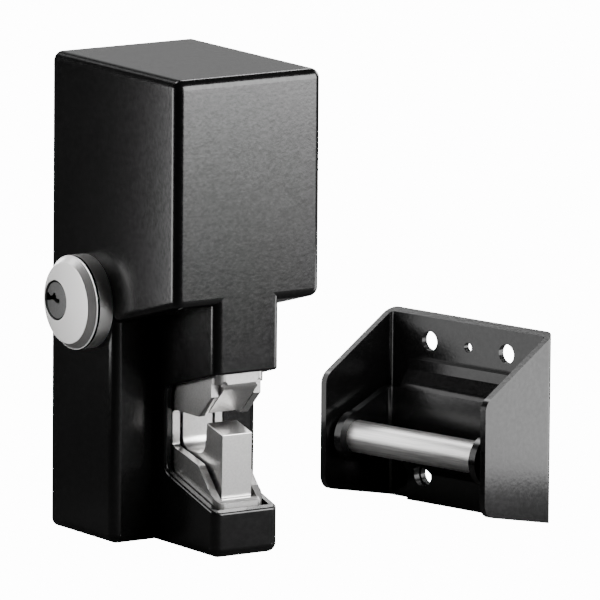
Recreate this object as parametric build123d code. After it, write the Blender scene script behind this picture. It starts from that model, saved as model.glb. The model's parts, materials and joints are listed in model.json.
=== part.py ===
from build123d import *
import math
import os

os.makedirs("parts", exist_ok=True)

# Electric gate lock with its strike bracket. Millimetres, +Z up, the lock's front faces -Y.
# The origin is on the floor, in the middle of the lock's base. A "depth" runs back from the
# front plane of the lock, so a point's Y is its depth minus half the housing's depth.

# Housing: a folded and welded steel cover, open at the back
HOUSING_W = 62.0
HOUSING_D = 82.4
HOUSING_H = 175.0
WALL = 2.7
EDGE_R = 3.5
BOX_D = 41.3
HEAD_Z = 92.7
NECK_Z = 67.2
FOOT_Z = 16.5
HEAD_SLOPE = 15.5
NECK_SLOPE = 15.9
FOOT_SLOPE = 17.5
MOUTH_TO_BOX = 7.8
MOUTH_R = 4.0
MOUTH_EDGE_R = 1.0

# Clearances
SEAT = 0.1
GAP = 0.3
RUN = 0.05
NECK_GAP = 0.6

# Strike bar and the throat that takes it
BAR_D = 12.0
BAR_Z = 42.6
THROAT_PLAY = 1.4
THROAT_L = 14.2

# Latch frame: a U channel of plate with the mouth cut into it
PLATE = 3.0
WEB_DEPTH = 4.0
BEND_R = 4.0
FRAME_Z = 4.5
FRAME_TOP = 70.0
FRAME_STEP = 11.9
FRAME_OVER_HEAD = 3.3
STRIP_L = 34.0
STRIP_W = 13.0
WEB_LOW_TOP = 20.2
WEB_HIGH_BOTTOM = 62.5
TONGUE_END_DEPTH = 15.1
TONGUE_SLOT = 0.6
RELIEF_R = 1.2
JAW_DEPTH = 16.3
RAMP_DEPTH = 9.4
RAMP_Z = 31.5
RAMP_LOW_Z = 23.7
RAMP_FOOT = 1.5
FRAME_FOOT_Z = 26.0
PIN_OVER_CHEEK = 4.82
HINGE_OVER_CHEEK = 0.5
FRAME_FOOT_W = 13.4

# Claw
CLAW_W = 12.7
CLAW_SIDE_GAP = 1.25
CLAW_PIVOT_BACK = 3.7
CLAW_PIVOT_DROP = 13.6
CLAW_PIN_D = 8.0
CLAW_BACK_TOP = 50.5
CLAW_WALL = 6.4
TOOTH_FRONT = 7.0
TOOTH_LEAN = 1.6
TOOTH_TOP = 46.5
TOOTH_DROP = 3.0
CLAW_FLOOR_R = 4.4
CLAW_SWING = 25.4

# Locking pawl and its link
PAWL_T = 6.0
PAWL_X = -1.6
PAWL_BACK = 8.5
PAWL_RISE = 33.0
PAWL_PIN_D = 6.0
PAWL_BOSS_R = 6.2
PAWL_SWING = 22.9
PAWL_LAP = 1.5
PAWL_GAP = 0.6
PAWL_ARM = 16.0
LINK_PIN_D = 3.0
LINK_T = 3.0
LINK_W = 7.0

# Key cylinder, set across the lock with its plug to the rear
CYL_GAP = 0.35
CYL_Z = 87.05
CYL_R = 14.4
CYL_IN = 17.7
FACE_R = 14.8
RIM_R = 17.15
COLLAR_T = 6.0
FACE_RISE = 2.8
PLUG_R = 6.9
PLUG_OFFSET = 6.9
PLUG_SINK = 0.5
PLUG_BEVEL = 0.3
HEAD_GAP = 0.5
KEYWAY_L = 24.0
CAM_T = 3.0
CLAMP_W = 4.0
CLAMP_T = 4.0
CLAMP_SCREW_R = 1.5
CAM_REACH = 11.4
CAM_W = 6.0

# Solenoid
COIL_R = 13.0
COIL_OVER_KEY = 28.35
TOP_ROOM = 22.4
PLUNGER_R = 5.0
PLUNGER_HEAD = 9.2
SPRING_SPACE = 1.8
SOL_SCREW_X = 7.5
PLUNGER_OUT = 25.9
CORE_L = 6.0
SOL_PLATE = 3.0
SOL_EAR_H = 10.0

# Small parts
SCREW_D = 5.0
COVER_SCREW_D = 4.0
LIP = 18.0
LIP_HOOK = 14.0
MOUNT_HOLE_D = 6.6
MOUNT_X = 22.5
MOUNT_EDGE = 12.0
COVER_SCREW_X = 20.0
COVER_SCREW_BACK = 10.0
CABLE_HOLE_R = 6.0
CABLE_HOLE_X = -20.0
CABLE_HOLE_Z = 128.0
SWITCH_T = 6.4
SWITCH_L = 21.0
SWITCH_H = 9.0
STOP_D = 5.0
STOP_RISE = 17.0
SPRING_L = 32.5
SPRING_DROP = 17.0
LUG_FORWARD = 3.5
SPRING_R = 3.4
SPRING_WALL = 1.2
TERMINAL_W = 30.0
TERMINAL_D = 11.0
TERMINAL_H = 11.5
TERMINAL_LUG = 7.0
TERMINAL_DROP = 8.5

# Strike bracket, standing apart and turned towards the lock
BR_X = 120.1
BR_Y = -7.8
BR_TURN = -76.2
BR_W = 81.2
BR_H = 70.4
BR_D = 37.8
BR_T = 2.6
BR_FRONT_TOP = 48.8
BR_FRONT_LOW = 7.0
BR_BEND = 4.0
BR_CORNER_R = 5.5
BR_HOLE_D = 7.3
BR_HOLE_X = 18.9
BR_HOLE_HIGH = 60.0
BR_HOLE_LOW = 10.0
BR_PILOT_D = 3.6
YOKE_T = 3.0
YOKE_SIDE_GAP = 3.4
YOKE_RISE = 4.5
YOKE_TAB_W = 53.2
YOKE_TOP = 53.0
YOKE_WEB_TOP = 42.5
YOKE_WEB_LOW = 17.5
BAR_OUT = 27.5
BAR_UP = 26.0
NOSE_R = 9.5

# Sizes that follow from those above
BOX_DEPTH = HOUSING_D - BOX_D
MOUTH_DEPTH = BOX_DEPTH - MOUTH_TO_BOX
CLAW_PIVOT = (MOUTH_DEPTH + CLAW_PIVOT_BACK, BAR_Z - CLAW_PIVOT_DROP)
PAWL_PIVOT = (CLAW_PIVOT[0] + PAWL_BACK, CLAW_PIVOT[1] + PAWL_RISE)
CYL_DEPTH = BOX_DEPTH + WALL + CYL_GAP + CYL_R
COIL_Z = CYL_Z + COIL_OVER_KEY
COIL_H = HOUSING_H - TOP_ROOM - COIL_Z
PLUNGER_Z = COIL_Z - PLUNGER_OUT
FRAME_NECK_TOP = HEAD_Z + FRAME_OVER_HEAD
STRIP_TOP = FRAME_NECK_TOP + STRIP_L
FRONT = -HOUSING_D / 2
BACK = HOUSING_D / 2
SIDE = HOUSING_W / 2
FRAME_IN = CLAW_W / 2 + CLAW_SIDE_GAP
FRAME_OUT = FRAME_IN + PLATE
NECK_IN = FRAME_OUT + NECK_GAP
NECK_OUT = NECK_IN + WALL
PLATE_FRONT = HOUSING_D - PLATE
THROAT_LOW = BAR_Z - (BAR_D + THROAT_PLAY) / 2
THROAT_HIGH = BAR_Z + (BAR_D + THROAT_PLAY) / 2
CHEEK_FRONT = WEB_DEPTH + BEND_R
PLUG_DEPTH = CYL_DEPTH + PLUG_OFFSET
CYL_FACE_X = -SIDE - COLLAR_T - HEAD_GAP - FACE_RISE - 0.3
CYL_END_X = -SIDE + CYL_IN
ARM_TILT = PAWL_SWING / 2
LINK_DEPTH = PAWL_PIVOT[0] + PAWL_ARM * math.cos(math.radians(ARM_TILT))
LINK_PIN_Z = PAWL_PIVOT[1] - PAWL_ARM * math.sin(math.radians(ARM_TILT))
LINK_X = PAWL_X + PAWL_T / 2 + GAP + LINK_T / 2
CHEEK_LOW_TOP = LINK_PIN_Z - PIN_OVER_CHEEK
YOKE_OUT = BR_W / 2 - BR_T - YOKE_SIDE_GAP


def rise(angle, run):
    """Height that a slope of this angle gains over this run."""
    return run * math.tan(math.radians(angle))


def block(x0, x1, d0, d1, z0, z1):
    """A box between two X, two depths and two heights."""
    box = Box(x1 - x0, d1 - d0, z1 - z0)
    return Pos((x0 + x1) / 2, FRONT + (d0 + d1) / 2, (z0 + z1) / 2) * box


def profile(points, x0, x1):
    """A side outline of (depth, height) points, pulled from x0 to x1."""
    line = Polyline(*[(x0, FRONT + d, z) for d, z in points], close=True)
    return extrude(make_face(line), amount=x1 - x0, dir=(1, 0, 0))


def rod_x(radius, x0, x1, depth, z):
    """A round bar along X."""
    bar = Rot(0, 90, 0) * Cylinder(radius, x1 - x0)
    return Pos((x0 + x1) / 2, FRONT + depth, z) * bar


def rod_y(radius, d0, d1, x, z):
    """A round bar along Y."""
    bar = Rot(90, 0, 0) * Cylinder(radius, d1 - d0)
    return Pos(x, FRONT + (d0 + d1) / 2, z) * bar


def rod_z(radius, z0, z1, x, depth):
    """A round bar along Z."""
    return Pos(x, FRONT + depth, (z0 + z1) / 2) * Cylinder(radius, z1 - z0)


def edges_at(solid, spots, axis=Axis.X):
    """The edges along an axis that pass through the given (depth, height) spots."""
    found = []
    for edge in solid.edges().filter_by(axis):
        spot = edge.center()
        for d, z in spots:
            if abs(spot.Y - FRONT - d) < 0.06 and abs(spot.Z - z) < 0.06:
                found.append(edge)
    return found


def uprights_at(solid, spots):
    """The upright edges that pass through the given (x, depth) spots."""
    found = []
    for edge in solid.edges().filter_by(Axis.Z):
        spot = edge.center()
        for x, d in spots:
            if abs(spot.X - x) < 0.06 and abs(spot.Y - FRONT - d) < 0.06:
                found.append(edge)
    return found


def keep(name, shape):
    """Write one sub-part."""
    shape.label = name
    export_step(shape, "parts/" + name + ".step")


def box_and_head(inset, back):
    """The full-width part of the housing: the rear box and the head that overhangs it."""
    floor = HEAD_Z - rise(HEAD_SLOPE, BOX_DEPTH)
    lift = inset / math.cos(math.radians(HEAD_SLOPE))
    front = BOX_DEPTH + inset
    points = [
        (back, inset),
        (front, inset),
        (front, floor + lift - rise(HEAD_SLOPE, inset)),
        (inset, HEAD_Z + lift - rise(HEAD_SLOPE, inset)),
        (inset, HOUSING_H - inset),
        (back, HOUSING_H - inset),
    ]
    return profile(points, -SIDE + inset, SIDE - inset)


def nose_form():
    """The solid form of the narrow neck and foot, with the mouth between them."""
    points = [
        (0, NECK_Z),
        (MOUTH_DEPTH, NECK_Z - rise(NECK_SLOPE, MOUTH_DEPTH)),
        (MOUTH_DEPTH, FOOT_Z + rise(FOOT_SLOPE, MOUTH_DEPTH)),
        (0, FOOT_Z),
        (0, 0),
        (BOX_DEPTH + WALL / 2, 0),
        (BOX_DEPTH + WALL / 2, HEAD_Z + WALL / 4),
        (0, HEAD_Z),
    ]
    body = profile(points, -NECK_OUT, NECK_OUT)
    return fillet(edges_at(body, points[1:3]), MOUTH_R)


def within_mouth(middle):
    """Whether a point lies on the neck's faces between the foot and the neck."""
    across = abs(middle.X) < NECK_OUT + 0.01
    between = FOOT_Z - 0.1 < middle.Z < NECK_Z + 0.1
    return across and between and middle.Y - FRONT < BOX_DEPTH - 0.1


def bent_edges(body):
    """The outer edges that the sheet is bent round: not the back, the mouth or the inner corners."""
    found = []
    for edge in body.edges():
        middle = edge.center()
        depth = middle.Y - FRONT
        heights = [v.Z for v in edge.vertices()]
        level = max(heights) - min(heights) < 0.01
        at_back = depth > HOUSING_D - 0.01
        inner = abs(abs(middle.X) - NECK_OUT) < 0.01 and depth > 0.01 and middle.Z > 0.01
        under_head = level and abs(depth - BOX_DEPTH) < 0.01 and middle.Z > 0.01
        mouth_only = within_mouth(middle) and (level or depth > 0.01)
        if not (at_back or inner or under_head or mouth_only):
            found.append(edge)
    return found


def mouth_edges(body):
    """The outer rim of the mouth."""
    found = []
    for face in body.faces():
        middle = face.center()
        inside = FOOT_Z - 0.1 < middle.Z < NECK_Z + 0.1 and middle.Y - FRONT < MOUTH_DEPTH + 0.1
        if abs(middle.X) < 0.01 and inside:
            for edge in face.edges():
                if abs(edge.center().X) > 0.01 or abs(edge.center().Y - FRONT) < 1.5 * EDGE_R:
                    found.append(edge)
    return found


def cover_form():
    """The whole cover as one solid form: rear box, head, neck and foot, with its bends."""
    body = box_and_head(0, HOUSING_D) + nose_form()
    body = fillet(bent_edges(body), EDGE_R)
    return fillet(mouth_edges(body), MOUTH_EDGE_R)


def cover_sheet():
    """The cover hollowed to its wall thickness."""
    hollow = box_and_head(WALL, HOUSING_D + 1)
    hollow += block(-NECK_IN, NECK_IN, WALL, BOX_DEPTH + 2 * WALL, WALL, HEAD_Z + 2 * WALL)
    return cover_form() - hollow


def nose_space():
    """Everything in front of the box and under the head."""
    floor = HEAD_Z - rise(HEAD_SLOPE, BOX_DEPTH)
    ahead = HEAD_Z + rise(HEAD_SLOPE, 1.0)
    points = [(-1, -1), (-1, ahead), (BOX_DEPTH, floor), (BOX_DEPTH, -1)]
    return profile(points, -SIDE, SIDE)


def housing():
    """Rear box and head."""
    body = cover_sheet() - nose_space()
    body -= rod_x(CYL_R + GAP, -SIDE - 1, -SIDE + WALL + 1, CYL_DEPTH, CYL_Z)
    for x in (-COVER_SCREW_X, COVER_SCREW_X):
        body -= rod_z(COVER_SCREW_D / 2 + GAP, -1, WALL + 1, x, cover_screw_depth())
        sink = Cone(COVER_SCREW_D + GAP, COVER_SCREW_D / 2, COVER_SCREW_D / 2 + GAP)
        body -= Pos(x, FRONT + cover_screw_depth(), COVER_SCREW_D / 4 + GAP / 2) * sink
        body -= rod_z(COVER_SCREW_D + GAP, -1, SEAT, x, cover_screw_depth())
    return body


def housing_nose():
    """Neck and foot, welded to the box and the head."""
    return cover_sheet() & nose_space()


def cover_screw_depth():
    return PLATE_FRONT - COVER_SCREW_BACK


def mounting_plate():
    """The flat back that is screwed to the post, with a lip for the cover screws and a top hook."""
    wide = SIDE - WALL - GAP
    low = WALL + GAP
    high = HOUSING_H - WALL - GAP
    body = block(-wide, wide, PLATE_FRONT, HOUSING_D, low, high)
    body += block(-wide, wide, PLATE_FRONT - LIP, HOUSING_D, low, low + PLATE)
    body += block(-STRIP_W, STRIP_W, PLATE_FRONT - LIP_HOOK, HOUSING_D, high - PLATE, high)
    for x in (-MOUNT_X, MOUNT_X):
        for z in (MOUNT_EDGE, HOUSING_H - MOUNT_EDGE):
            body -= rod_y(MOUNT_HOLE_D / 2, PLATE_FRONT - 1, HOUSING_D + 1, x, z)
    for x in (-COVER_SCREW_X, COVER_SCREW_X):
        body -= rod_z(COVER_SCREW_D / 2 + RUN, low - 1, low + PLATE + 1, x, cover_screw_depth())
    body -= rod_y(CABLE_HOLE_R, PLATE_FRONT - 1, HOUSING_D + 1, CABLE_HOLE_X, CABLE_HOLE_Z)
    for x, z in frame_screw_spots() + solenoid_screw_spots():
        body -= rod_y(SCREW_D / 2 + RUN, PLATE_FRONT - 1, HOUSING_D + 1, x, z)
    return body


def cover_screws():
    """Two countersunk screws that hold the housing to the plate's lip."""
    screws = []
    radius = COVER_SCREW_D / 2
    for x in (-COVER_SCREW_X, COVER_SCREW_X):
        rim = COVER_SCREW_D - GAP
        head = Pos(x, FRONT + cover_screw_depth(), SEAT + radius / 2) * Cone(rim, radius - GAP, radius)
        shank = rod_z(radius, SEAT + radius - 1, WALL + GAP + PLATE + 2.0, x, cover_screw_depth())
        slot = block(x - radius, x + radius, cover_screw_depth() - 0.5, cover_screw_depth() + 0.5, 0, 0.9)
        screws.append(head + shank - slot)
    return Compound(children=screws)


def cable_grommet():
    """Rubber ring in the plate where the supply wires come in."""
    at = (CABLE_HOLE_X, CABLE_HOLE_Z)
    ring = rod_y(CABLE_HOLE_R - SEAT, PLATE_FRONT - 2, HOUSING_D, *at)
    ring += rod_y(CABLE_HOLE_R + 1.5, PLATE_FRONT - 2, PLATE_FRONT - SEAT, *at)
    return ring - rod_y(CABLE_HOLE_R - 2.0, PLATE_FRONT - 3, HOUSING_D + 1, *at)


def channel(z0, z1):
    """A length of the frame's folded front: the web with a bend at each side."""
    outer = block(-FRAME_OUT, FRAME_OUT, WEB_DEPTH, CHEEK_FRONT + 1, z0, z1)
    outer = fillet(uprights_at(outer, [(-FRAME_OUT, WEB_DEPTH), (FRAME_OUT, WEB_DEPTH)]), BEND_R)
    inner = block(-FRAME_IN, FRAME_IN, WEB_DEPTH + PLATE, CHEEK_FRONT + 2, z0 - 1, z1 + 1)
    face = WEB_DEPTH + PLATE
    inner = fillet(uprights_at(inner, [(-FRAME_IN, face), (FRAME_IN, face)]), BEND_R - PLATE)
    return outer - inner


def lip_top():
    return WALL + GAP + PLATE


def ramp_z(depth):
    """Height of the ramp that rises from the lower web's top to the throat."""
    foot = WEB_DEPTH + RAMP_FOOT
    return WEB_LOW_TOP + (RAMP_LOW_Z - WEB_LOW_TOP) * (depth - foot) / (RAMP_DEPTH - foot)


def lower_web():
    """The folded front below the mouth; its bends rise into the cheeks' ramps."""
    front = WEB_DEPTH - 1
    foot = WEB_DEPTH + RAMP_FOOT
    high = RAMP_LOW_Z + 1
    body = channel(FRAME_Z, high)
    body -= block(-FRAME_IN, FRAME_IN, front, CHEEK_FRONT + 2, WEB_LOW_TOP, high + 1)
    above = [(front, WEB_LOW_TOP), (foot, WEB_LOW_TOP), (CHEEK_FRONT + 2, ramp_z(CHEEK_FRONT + 2)),
             (CHEEK_FRONT + 2, high + 1), (front, high + 1)]
    return body - profile(above, -FRAME_OUT - 1, FRAME_OUT + 1)


def cheek_outline():
    rear = PLATE_FRONT - SEAT - PLATE
    return [
        (CHEEK_FRONT, FRAME_Z),
        (CHEEK_FRONT, ramp_z(CHEEK_FRONT)),
        (RAMP_DEPTH, RAMP_LOW_Z),
        (JAW_DEPTH, RAMP_Z),
        (MOUTH_DEPTH - 3.5, THROAT_LOW - 0.9),
        (MOUTH_DEPTH, THROAT_LOW),
        (MOUTH_DEPTH, THROAT_HIGH),
        (JAW_DEPTH, THROAT_HIGH),
        (CHEEK_FRONT, THROAT_HIGH + JAW_DEPTH - CHEEK_FRONT),
        (CHEEK_FRONT, FRAME_NECK_TOP),
        (MOUTH_DEPTH + 2.0, FRAME_NECK_TOP),
        (MOUTH_DEPTH + 2.0, FRAME_TOP),
        (BOX_DEPTH + FRAME_STEP, FRAME_TOP),
        (BOX_DEPTH + FRAME_STEP, CHEEK_LOW_TOP),
        (rear, CHEEK_LOW_TOP),
        (rear, lip_top() + GAP),
        (PLATE_FRONT - LIP - GAP, lip_top() + GAP),
        (PLATE_FRONT - LIP - GAP, FRAME_Z),
    ]


def cheek(side):
    """One side plate of the frame, with the throat, the pivot holes and a foot at the back."""
    points = cheek_outline()
    x0 = FRAME_IN if side > 0 else -FRAME_OUT
    body = profile(points, x0, x0 + PLATE)
    body = fillet(edges_at(body, points[5:7]), 1.6)
    body = fillet(edges_at(body, points[2:4]), 2.0)
    rear = PLATE_FRONT - SEAT
    wide = (FRAME_OUT, FRAME_OUT + FRAME_FOOT_W)
    foot_x = wide if side > 0 else (-wide[1], -wide[0])
    foot = block(*foot_x, rear - PLATE, rear, FRAME_FOOT_Z, CHEEK_LOW_TOP)
    bend = block(x0, x0 + PLATE, rear - PLATE, rear, FRAME_FOOT_Z, CHEEK_LOW_TOP)
    corner = [(-FRAME_IN, rear), (FRAME_IN, rear)]
    bend = fillet(uprights_at(bend, corner), PLATE - 0.2)
    body += foot + bend
    pins = [(CLAW_PIVOT, CLAW_PIN_D), (PAWL_PIVOT, PAWL_PIN_D), (spring_post_spot(), STOP_D)]
    if side > 0:
        pins.append((stop_spot(), STOP_D))
    for spot, size in pins:
        body -= rod_x(size / 2 + RUN, x0 - 1, x0 + PLATE + 1, *spot)
    if side > 0:
        for spot in switch_screw_spots():
            body -= rod_x(1.2 + RUN, x0 - 1, x0 + PLATE + 1, *spot)
    return body


def tongue():
    """The flap of the upper web, folded back along the upper jaw between the cheeks."""
    end_z = THROAT_HIGH + 1.2
    face = WEB_DEPTH
    top = WEB_HIGH_BOTTOM
    reach = TONGUE_END_DEPTH - face
    lean = PLATE / math.sqrt(2)
    inner_z = end_z + reach + PLATE * math.tan(math.radians(22.5))
    points = [
        (face, top + BEND_R),
        (face, end_z + reach),
        (TONGUE_END_DEPTH, end_z),
        (TONGUE_END_DEPTH + lean, end_z + lean),
        (face + PLATE, inner_z),
        (face + PLATE, top + BEND_R),
    ]
    half = FRAME_IN - TONGUE_SLOT
    body = profile(points, -half, half)
    return fillet(edges_at(body, points[1:2]), 5.0)


def latch_frame():
    body = cheek(-1) + cheek(1)
    low = lower_web()
    rim = edges_at(low, [(WEB_DEPTH, WEB_LOW_TOP)])
    body += chamfer(rim, 1.0)
    body += channel(WEB_HIGH_BOTTOM, FRAME_NECK_TOP)
    half = STRIP_W / 2
    body += block(-half, half, WEB_DEPTH, WEB_DEPTH + PLATE, FRAME_NECK_TOP - 1, STRIP_TOP)
    body += tongue()
    for x in (TONGUE_SLOT / 2 - FRAME_IN, FRAME_IN - TONGUE_SLOT / 2):
        body -= rod_y(RELIEF_R, WEB_DEPTH - 1, WEB_DEPTH + PLATE, x, WEB_HIGH_BOTTOM)
    for x, z in frame_screw_spots():
        body -= rod_y(SCREW_D / 2 + GAP, PLATE_FRONT - 6, PLATE_FRONT, x, z)
    for z in terminal_screw_heights():
        body -= rod_y(1.5 + RUN, WEB_DEPTH - 1, WEB_DEPTH + PLATE + 1, 0, z)
    return body


def frame_screw_spots():
    x = FRAME_OUT + FRAME_FOOT_W / 2
    low = FRAME_FOOT_Z + 8.0
    high = CHEEK_LOW_TOP - 8.0
    return [(-x, low), (x, low), (-x, high), (x, high)]


def pan_screw_y(x, z, seat, tip):
    """A pan-head screw along Y with its head in front of the depth called seat."""
    head = rod_y(SCREW_D * 0.9, seat - SCREW_D * 0.6, seat, x, z)
    head = chamfer(head.edges().sort_by(Axis.Y)[0], 0.9)
    slot = block(x - SCREW_D, x + SCREW_D, seat - SCREW_D, seat - SCREW_D * 0.6 + 1.2, z - 0.6, z + 0.6)
    return head + rod_y(SCREW_D / 2, seat - 1, tip, x, z) - slot


def frame_screws():
    seat = PLATE_FRONT - SEAT - PLATE - SEAT
    return Compound(children=[pan_screw_y(x, z, seat, HOUSING_D - 0.5) for x, z in frame_screw_spots()])


def stop_spot():
    """The stop lies just behind the claw's back wall, beside the pawl."""
    return (MOUTH_DEPTH + CLAW_WALL + 2 * GAP + STOP_D / 2, CLAW_PIVOT[1] + STOP_RISE)


def spring_post_spot():
    return (lug_spot()[0] + SPRING_L, CLAW_PIVOT[1] - SPRING_DROP)


def lug_spot():
    return (CLAW_PIVOT[0] - LUG_FORWARD, CLAW_PIVOT[1] - SPRING_DROP)


def claw():
    """The rotary catch: a tooth in front of the bar, a floor under it and a wall behind it."""
    py, pz = CLAW_PIVOT
    back = MOUTH_DEPTH - 0.2
    floor = THROAT_LOW - 1.2
    tooth_back = back - THROAT_L - TOOTH_LEAN
    toe_end = py + 9.4
    toe_top = pz + 1.0
    points = [
        (TOOTH_FRONT + GAP, WEB_LOW_TOP + 0.2),
        (TOOTH_FRONT, TOOTH_TOP - TOOTH_DROP),
        (tooth_back, TOOTH_TOP),
        (tooth_back + TOOTH_LEAN, floor),
        (back, floor),
        (back, CLAW_BACK_TOP),
        (back + CLAW_WALL, CLAW_BACK_TOP),
        (py + 3.5, pz + 6.0),
        (toe_end - PAWL_LAP - 1.4, toe_top),
        (toe_end, toe_top),
        (toe_end, pz - 5.0),
        (py + 5.0, pz - 9.5),
        (py, pz - 19.5),
        (py - 7.0, pz - 19.5),
        (py - 12.0, pz - 14.0),
        (16.0, 11.5),
        (11.0, 13.0),
    ]
    body = profile(points, -CLAW_W / 2, CLAW_W / 2)
    body = fillet(edges_at(body, points[3:5]), CLAW_FLOOR_R)
    body = fillet(edges_at(body, points[5:7]), 2.0)
    body = fillet(edges_at(body, points[12:14]), 3.0)
    body = fillet(edges_at(body, points[15:17]), 2.0)
    body = chamfer(edges_at(body, [points[9]]), 0.5)
    body -= rod_x(CLAW_PIN_D / 2 + RUN, -CLAW_W, CLAW_W, *CLAW_PIVOT)
    for x0 in (-CLAW_W, 2.0):
        body -= block(x0, x0 + CLAW_W - 2.0, py - 12, py + 2, pz - 25, pz - 12.5)
    body -= rod_x(1.3, -CLAW_W, CLAW_W, *lug_spot())
    return body


def cheek_pin(size, spot):
    """A plain pin that ends flush with the outside of both cheeks."""
    return rod_x(size / 2, -FRAME_OUT, FRAME_OUT, *spot)


def claw_spring():
    """Pulls the bottom of the claw back, so that it opens when it is freed. Hidden, so a plain sleeve."""
    front = lug_spot()[0]
    rear = spring_post_spot()[0]
    z = spring_post_spot()[1]
    sleeve = rod_y(SPRING_R, front + 9.0, rear - 6.0, 0, z)
    sleeve -= rod_y(SPRING_R - SPRING_WALL, front + 8.0, rear - 7.2, 0, z)
    beside = SPRING_R - SPRING_WALL / 2
    hook = rod_y(SPRING_WALL / 3, front + 1.6, front + 10.0, beside, z)
    eye = rod_y(SPRING_WALL / 3, rear - 8.0, rear - STOP_D / 2 - GAP, beside, z)
    return sleeve + hook + eye


def pawl_nose_z():
    return CLAW_PIVOT[1] + 1.0 + PAWL_GAP


def locking_pawl():
    """Stands on the claw's toe and holds it; its rear arm is lifted by the link."""
    py, pz = PAWL_PIVOT
    nose = CLAW_PIVOT[0] + 9.4 - PAWL_LAP
    low = pawl_nose_z()
    x0 = PAWL_X - PAWL_T / 2
    x1 = PAWL_X + PAWL_T / 2
    stem = profile([(nose, low), (nose, low + 6), (py - 2.5, pz - 14), (py - 6, pz), (py + 6, pz),
                    (py + 5, pz - 14), (nose + 4.1, low)], x0, x1)
    stem = chamfer(edges_at(stem, [(nose, low)]), 0.5)
    tip = (LINK_DEPTH, LINK_PIN_Z)
    arm = profile([(py, pz + 5.5), (tip[0] + 1, tip[1] + 4.0), (tip[0] + 1, tip[1] - 4.0), (py, pz - 5.5)],
                  x0, x1)
    body = stem + arm + rod_x(PAWL_BOSS_R, x0, x1, py, pz) + rod_x(4.1, x0, x1, *tip)
    body -= rod_x(PAWL_PIN_D / 2 + RUN, x0 - 1, x1 + 1, py, pz)
    return body - rod_x(LINK_PIN_D / 2 + RUN, x0 - 1, x1 + 1, *tip)


def link_pin():
    """Fixed in the pawl's rear arm; it lifts with the link and its right end works the switch."""
    end = FRAME_OUT + SEAT + SWITCH_T - 1.0
    return rod_x(LINK_PIN_D / 2, PAWL_X - PAWL_T / 2, end, LINK_DEPTH, LINK_PIN_Z)


def claw_stop():
    """Stub in the right cheek that the claw's back wall meets when it closes."""
    return rod_x(STOP_D / 2, PAWL_X + PAWL_T / 2 + GAP, FRAME_OUT, *stop_spot())


def lever_hinge():
    return (LINK_DEPTH + 9.3, CHEEK_LOW_TOP + HINGE_OVER_CHEEK)


def lever_touch():
    """The point of the lever just under the link pin."""
    return (LINK_DEPTH, LINK_PIN_Z - LINK_PIN_D / 2 - GAP)


def switch_screw_spots():
    hinge = lever_hinge()
    z = hinge[1] - 1.5 - SWITCH_H / 2
    return [(hinge[0] - 3.0, z), (hinge[0] - 16.0, z)]


def microswitch():
    """Snap switch on the right cheek; it reports whether the pawl is in."""
    hinge = lever_hinge()
    x0 = FRAME_OUT + SEAT
    top = hinge[1] - 1.5
    d1 = hinge[0] + 2.0
    body = block(x0, x0 + SWITCH_T, d1 - SWITCH_L, d1, top - SWITCH_H, top)
    body += block(x0 + 2.2, x0 + 4.2, hinge[0] - 5.5, hinge[0] - 3.5, top - 1, hinge[1])
    for side in (0.4, SWITCH_T - 1.2):
        body += block(x0 + side, x0 + side + 0.8, hinge[0] - 1.2, hinge[0] + 1.2, top - 1, hinge[1] + 1.2)
    for d in (d1 - 4.0, d1 - 10.5, d1 - 17.0):
        body += block(x0 + 3.0, x0 + 3.6, d - 1.5, d + 1.5, top - SWITCH_H - 4.0, top - SWITCH_H + 1)
    body -= rod_x(0.6 + RUN, x0 - 1, x0 + SWITCH_T + 1, *hinge)
    for spot in switch_screw_spots():
        body -= rod_x(1.2 + RUN, x0 - 1, x0 + SWITCH_T + 1, *spot)
    return body


def switch_lever():
    """The switch's leaf, hinged at its rear end."""
    hinge = lever_hinge()
    touch = lever_touch()
    x0 = FRAME_OUT + SEAT + 1.2 + GAP
    x1 = FRAME_OUT + SEAT + SWITCH_T - 1.2 - GAP
    past = (touch[0] - 2.0, touch[1])
    leaf = profile([(hinge[0], hinge[1] + 0.4), touch, past, (past[0], past[1] - 0.8),
                    (touch[0], touch[1] - 0.8), (hinge[0], hinge[1] - 0.4)], x0, x1)
    pin = rod_x(0.6, FRAME_OUT + SEAT + 0.4, FRAME_OUT + SEAT + SWITCH_T - 0.4, *hinge)
    return leaf + rod_x(1.0, x0, x1, *hinge) + pin


def switch_screws():
    x1 = FRAME_OUT + SEAT + SWITCH_T
    screws = []
    for spot in switch_screw_spots():
        screws.append(rod_x(1.2, FRAME_IN + 0.2, x1 + 1, *spot) + rod_x(2.2, x1 + SEAT, x1 + 1.6, *spot))
    return Compound(children=screws)


def tab_z():
    """Underside of the link's tab, clear of the key cam until it has turned up to it."""
    return CYL_Z - 6.45


def plunger_pin_z():
    return PLUNGER_Z + 4.0


def release_link():
    """Flat bar from the pawl up to the plunger, with a side tab for the key cam."""
    x0 = LINK_X - LINK_T / 2
    x1 = LINK_X + LINK_T / 2
    d0 = LINK_DEPTH - LINK_W / 2
    d1 = LINK_DEPTH + LINK_W / 2
    tab = tab_z()
    bar = block(x0, x1, d0, d1, LINK_PIN_Z - 4.5, plunger_pin_z() + 3.5)
    tab_d0 = d0 - 6.5
    wing = profile([(tab_d0, tab), (d0, tab - 5), (d1, tab - 5), (d1, tab + 8), (d0, tab + 8),
                    (tab_d0, tab + LINK_T)], x0, x1)
    body = bar + wing
    body += block(CYL_END_X + 0.9, x1, tab_d0, d0, tab, tab + LINK_T)
    slot = rod_x(LINK_PIN_D / 2 + SEAT, x0 - 1, x1 + 1, LINK_DEPTH, LINK_PIN_Z)
    slot += rod_x(LINK_PIN_D / 2 + SEAT, x0 - 1, x1 + 1, LINK_DEPTH + 0.5, LINK_PIN_Z)
    hole = rod_x(LINK_PIN_D / 2 + RUN, x0 - 1, x1 + 1, LINK_DEPTH, plunger_pin_z())
    return body - slot - hole


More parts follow.
